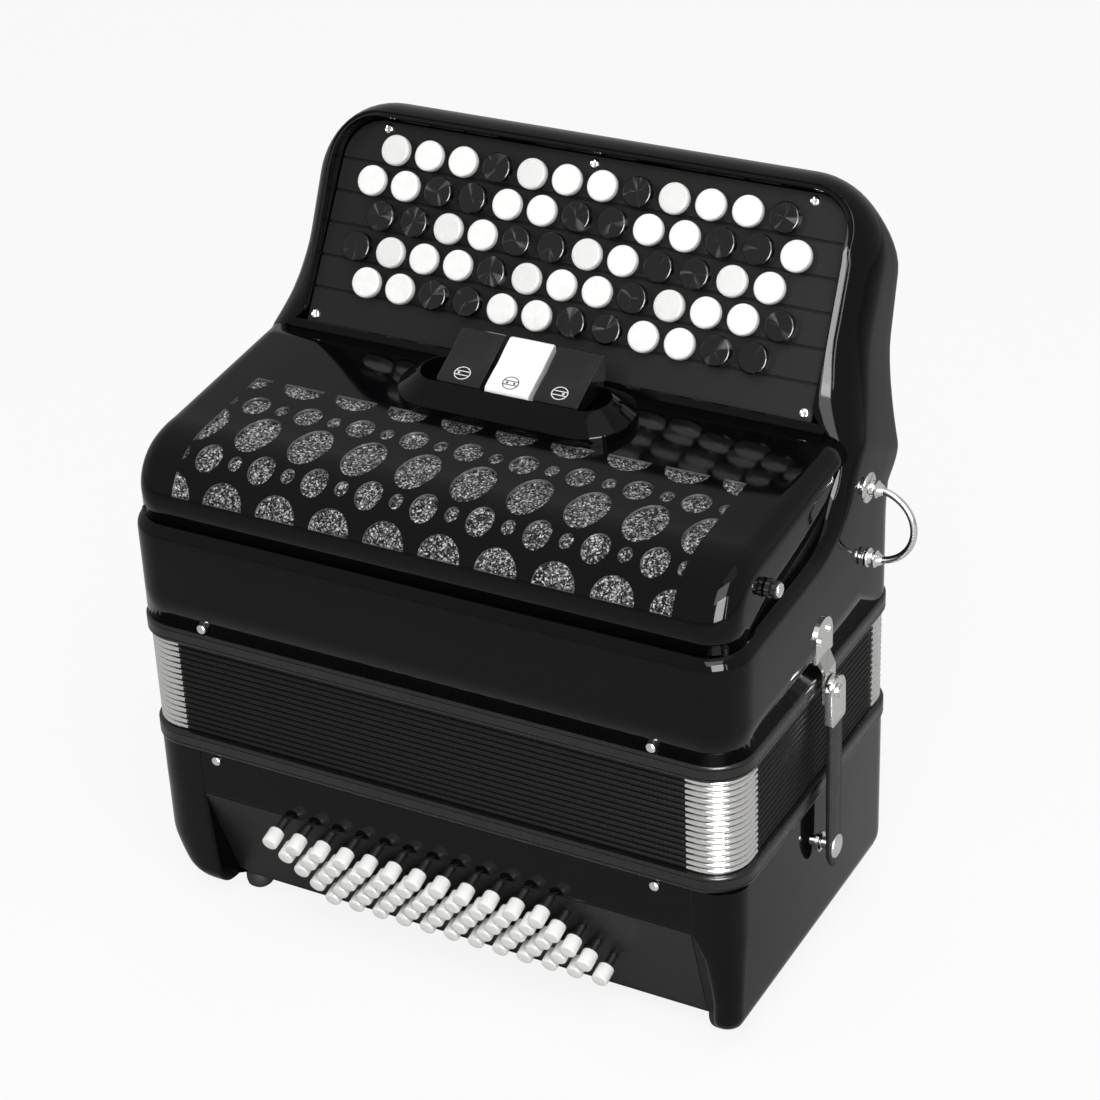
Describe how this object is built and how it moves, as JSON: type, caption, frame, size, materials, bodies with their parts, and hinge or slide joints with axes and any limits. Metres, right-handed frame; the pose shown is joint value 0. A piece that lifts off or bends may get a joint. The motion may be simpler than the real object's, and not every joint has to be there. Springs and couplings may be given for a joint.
{
  "type": "chromatic button accordion",
  "caption": "Black chromatic button accordion stored on its bass end, with closed bellows, round treble and bass buttons, register tabs, oval-pierced grille and strap rings.",
  "frame": {"origin": "Centre of the bounding box, on the floor that the feet stand on, with the bellows closed", "axes": "+X along the keyboard towards the end that is uppermost in play, +Y towards the player's body, +Z from the bass end to the treble end"},
  "size_m": [0.3714, 0.23, 0.3644],
  "materials": {
    "black_lacquer": "high gloss black lacquer",
    "satin_board": "satin black with a fine grain",
    "frame_black": "black lacquered frame",
    "bellows_cloth": "black bookbinding cloth over card",
    "chrome": "bright plated steel",
    "rubber": "matt black rubber",
    "spruce": "planed spruce",
    "reed_plate": "milled",
    "leather": "black stitched leather",
    "white_button": "polished white plastic",
    "black_button": "polished black pearl plastic",
    "glitter_cloth": "silver glitter on grey cloth",
    "register_black": "glossy black moulded plastic"
  },
  "bodies": {
    "bass_side": {"bass_casing": "black_lacquer", "bass_end_plate": "black_lacquer", "bass_button_board": "satin_board", "bass_frame": "frame_black", "bass_frame_pins": "chrome", "feet": "rubber", "bass_soundboard": "spruce", "bass_reed_blocks": "spruce", "bass_reed_plates": "reed_plate", "bass_hand_strap": "leather", "hand_strap_anchors": "chrome", "strap_studs": "chrome"},
    "fold_1": {"bellows_fold_1": "bellows_cloth"},
    "fold_2": {"bellows_fold_2": "bellows_cloth"},
    "fold_3": {"bellows_fold_3": "bellows_cloth"},
    "fold_4": {"bellows_fold_4": "bellows_cloth"},
    "fold_5": {"bellows_fold_5": "bellows_cloth"},
    "fold_6": {"bellows_fold_6": "bellows_cloth"},
    "fold_7": {"bellows_fold_7": "bellows_cloth"},
    "fold_8": {"bellows_fold_8": "bellows_cloth"},
    "fold_9": {"bellows_fold_9": "bellows_cloth"},
    "fold_10": {"bellows_fold_10": "bellows_cloth"},
    "fold_11": {"bellows_fold_11": "bellows_cloth"},
    "fold_12": {"bellows_fold_12": "bellows_cloth"},
    "fold_13": {"bellows_fold_13": "bellows_cloth"},
    "fold_14": {"bellows_fold_14": "bellows_cloth"},
    "fold_15": {"bellows_fold_15": "bellows_cloth"},
    "fold_16": {"bellows_fold_16": "bellows_cloth"},
    "treble_side": {"treble_casing": "black_lacquer", "fingerboard": "black_lacquer", "treble_frame": "frame_black", "treble_frame_pins": "chrome", "grille_cover": "black_lacquer", "grille_cloth": "glitter_cloth", "cover_thumb_screws": "chrome", "treble_screws": "chrome", "register_plinth": "register_black", "button_board": "satin_board", "treble_soundboard": "spruce", "treble_reed_blocks": "spruce", "treble_reed_plates": "reed_plate", "strap_rings": "chrome", "strap_brackets": "chrome"},
    "bass_row_1": {"bass_buttons_row_1": "white_button"},
    "bass_row_2": {"bass_buttons_row_2": "white_button"},
    "bass_row_3": {"bass_buttons_row_3": "white_button"},
    "bass_row_4": {"bass_buttons_row_4": "white_button"},
    "bass_row_5": {"bass_buttons_row_5": "white_button"},
    "treble_row_1": {"treble_buttons_row_1": "white_button"},
    "treble_row_2": {"treble_buttons_row_2": "white_button"},
    "treble_row_3": {"treble_buttons_row_3": "black_button"},
    "treble_row_4": {"treble_buttons_row_4": "white_button"},
    "treble_row_5": {"treble_buttons_row_5": "white_button"},
    "register_low": {"register_tab_low": "register_black"},
    "register_master": {"register_tab_master": "white_button"},
    "register_high": {"register_tab_high": "register_black"},
    "strap_left": {"bellows_strap_left": "leather"},
    "strap_right": {"bellows_strap_right": "leather"},
    "air_valve_button": {"air_button": "register_black"}
  },
  "joints": [
    {"name": "bellows_open", "type": "slide", "parent": "bass_side", "child": "treble_side", "axis": [0, 0, 1], "range_m": [0, 0.3]},
    {"name": "fold_1_open", "type": "slide", "parent": "bass_side", "child": "fold_1", "axis": [0, 0, 1], "range_m": [0, 0.00136]},
    {"name": "fold_2_open", "type": "slide", "parent": "bass_side", "child": "fold_2", "axis": [0, 0, 1], "range_m": [0, 0.00792]},
    {"name": "fold_3_open", "type": "slide", "parent": "bass_side", "child": "fold_3", "axis": [0, 0, 1], "range_m": [0, 0.02018]},
    {"name": "fold_4_open", "type": "slide", "parent": "bass_side", "child": "fold_4", "axis": [0, 0, 1], "range_m": [0, 0.03729]},
    {"name": "fold_5_open", "type": "slide", "parent": "bass_side", "child": "fold_5", "axis": [0, 0, 1], "range_m": [0, 0.05834]},
    {"name": "fold_6_open", "type": "slide", "parent": "bass_side", "child": "fold_6", "axis": [0, 0, 1], "range_m": [0, 0.08248]},
    {"name": "fold_7_open", "type": "slide", "parent": "bass_side", "child": "fold_7", "axis": [0, 0, 1], "range_m": [0, 0.10881]},
    {"name": "fold_8_open", "type": "slide", "parent": "bass_side", "child": "fold_8", "axis": [0, 0, 1], "range_m": [0, 0.13646]},
    {"name": "fold_9_open", "type": "slide", "parent": "bass_side", "child": "fold_9", "axis": [0, 0, 1], "range_m": [0, 0.16454]},
    {"name": "fold_10_open", "type": "slide", "parent": "bass_side", "child": "fold_10", "axis": [0, 0, 1], "range_m": [0, 0.19219]},
    {"name": "fold_11_open", "type": "slide", "parent": "bass_side", "child": "fold_11", "axis": [0, 0, 1], "range_m": [0, 0.21852]},
    {"name": "fold_12_open", "type": "slide", "parent": "bass_side", "child": "fold_12", "axis": [0, 0, 1], "range_m": [0, 0.24266]},
    {"name": "fold_13_open", "type": "slide", "parent": "bass_side", "child": "fold_13", "axis": [0, 0, 1], "range_m": [0, 0.26371]},
    {"name": "fold_14_open", "type": "slide", "parent": "bass_side", "child": "fold_14", "axis": [0, 0, 1], "range_m": [0, 0.28082]},
    {"name": "fold_15_open", "type": "slide", "parent": "bass_side", "child": "fold_15", "axis": [0, 0, 1], "range_m": [0, 0.29308]},
    {"name": "fold_16_open", "type": "slide", "parent": "bass_side", "child": "fold_16", "axis": [0, 0, 1], "range_m": [0, 0.29964]},
    {"name": "bass_row_1_press", "type": "slide", "parent": "bass_side", "child": "bass_row_1", "axis": [0, 0.9603, 0.279], "range_m": [0, 0.004], "stiffness_N_per_m": 600, "springref_m": -0.002},
    {"name": "bass_row_2_press", "type": "slide", "parent": "bass_side", "child": "bass_row_2", "axis": [0, 0.9603, 0.279], "range_m": [0, 0.004], "stiffness_N_per_m": 600, "springref_m": -0.002},
    {"name": "bass_row_3_press", "type": "slide", "parent": "bass_side", "child": "bass_row_3", "axis": [0, 0.9603, 0.279], "range_m": [0, 0.004], "stiffness_N_per_m": 600, "springref_m": -0.002},
    {"name": "bass_row_4_press", "type": "slide", "parent": "bass_side", "child": "bass_row_4", "axis": [0, 0.9603, 0.279], "range_m": [0, 0.004], "stiffness_N_per_m": 600, "springref_m": -0.002},
    {"name": "bass_row_5_press", "type": "slide", "parent": "bass_side", "child": "bass_row_5", "axis": [0, 0.9603, 0.279], "range_m": [0, 0.004], "stiffness_N_per_m": 600, "springref_m": -0.002},
    {"name": "treble_row_1_press", "type": "slide", "parent": "treble_side", "child": "treble_row_1", "axis": [0, 0.8454, -0.5341], "range_m": [0, 0.0034], "stiffness_N_per_m": 900, "springref_m": -0.002},
    {"name": "treble_row_2_press", "type": "slide", "parent": "treble_side", "child": "treble_row_2", "axis": [0, 0.8454, -0.5341], "range_m": [0, 0.0034], "stiffness_N_per_m": 900, "springref_m": -0.002},
    {"name": "treble_row_3_press", "type": "slide", "parent": "treble_side", "child": "treble_row_3", "axis": [0, 0.8454, -0.5341], "range_m": [0, 0.0034], "stiffness_N_per_m": 900, "springref_m": -0.002},
    {"name": "treble_row_4_press", "type": "slide", "parent": "treble_side", "child": "treble_row_4", "axis": [0, 0.8454, -0.5341], "range_m": [0, 0.0034], "stiffness_N_per_m": 900, "springref_m": -0.002},
    {"name": "treble_row_5_press", "type": "slide", "parent": "treble_side", "child": "treble_row_5", "axis": [0, 0.8454, -0.5341], "range_m": [0, 0.0034], "stiffness_N_per_m": 900, "springref_m": -0.002},
    {"name": "register_low_press", "type": "hinge", "parent": "treble_side", "child": "register_low", "pos_m": [0, 0.01485, 0.27257], "axis": [1, 0, 0], "range_deg": [0, 6], "stiffness_Nm_per_rad": 0.15, "springref_deg": -5.73},
    {"name": "register_master_press", "type": "hinge", "parent": "treble_side", "child": "register_master", "pos_m": [0, 0.01485, 0.27257], "axis": [1, 0, 0], "range_deg": [0, 6], "stiffness_Nm_per_rad": 0.15, "springref_deg": -5.73},
    {"name": "register_high_press", "type": "hinge", "parent": "treble_side", "child": "register_high", "pos_m": [0, 0.01485, 0.27257], "axis": [1, 0, 0], "range_deg": [0, 6], "stiffness_Nm_per_rad": 0.15, "springref_deg": -5.73},
    {"name": "strap_left_swing", "type": "hinge", "parent": "treble_side", "child": "strap_left", "pos_m": [-0.1675, -0.00477, 0.155], "axis": [1, 0, 0], "range_deg": [-100, 100]},
    {"name": "strap_right_swing", "type": "hinge", "parent": "treble_side", "child": "strap_right", "pos_m": [0.1675, -0.00477, 0.155], "axis": [1, 0, 0], "range_deg": [-100, 100]},
    {"name": "air_button_press", "type": "slide", "parent": "bass_side", "child": "air_valve_button", "axis": [0, 0, 1], "range_m": [0, 0.004], "stiffness_N_per_m": 400, "springref_m": -0.003}
  ],
  "couplings": [
    {"joint": "fold_1_open", "follows": "bellows_open", "ratio": 0.002869},
    {"joint": "fold_2_open", "follows": "bellows_open", "ratio": 0.024719},
    {"joint": "fold_3_open", "follows": "bellows_open", "ratio": 0.065613},
    {"joint": "fold_4_open", "follows": "bellows_open", "ratio": 0.12262},
    {"joint": "fold_5_open", "follows": "bellows_open", "ratio": 0.19281},
    {"joint": "fold_6_open", "follows": "bellows_open", "ratio": 0.27325},
    {"joint": "fold_7_open", "follows": "bellows_open", "ratio": 0.36102},
    {"joint": "fold_8_open", "follows": "bellows_open", "ratio": 0.45319},
    {"joint": "fold_9_open", "follows": "bellows_open", "ratio": 0.54681},
    {"joint": "fold_10_open", "follows": "bellows_open", "ratio": 0.63898},
    {"joint": "fold_11_open", "follows": "bellows_open", "ratio": 0.72675},
    {"joint": "fold_12_open", "follows": "bellows_open", "ratio": 0.80719},
    {"joint": "fold_13_open", "follows": "bellows_open", "ratio": 0.87738},
    {"joint": "fold_14_open", "follows": "bellows_open", "ratio": 0.93439},
    {"joint": "fold_15_open", "follows": "bellows_open", "ratio": 0.97528},
    {"joint": "fold_16_open", "follows": "bellows_open", "ratio": 0.99713}
  ]
}
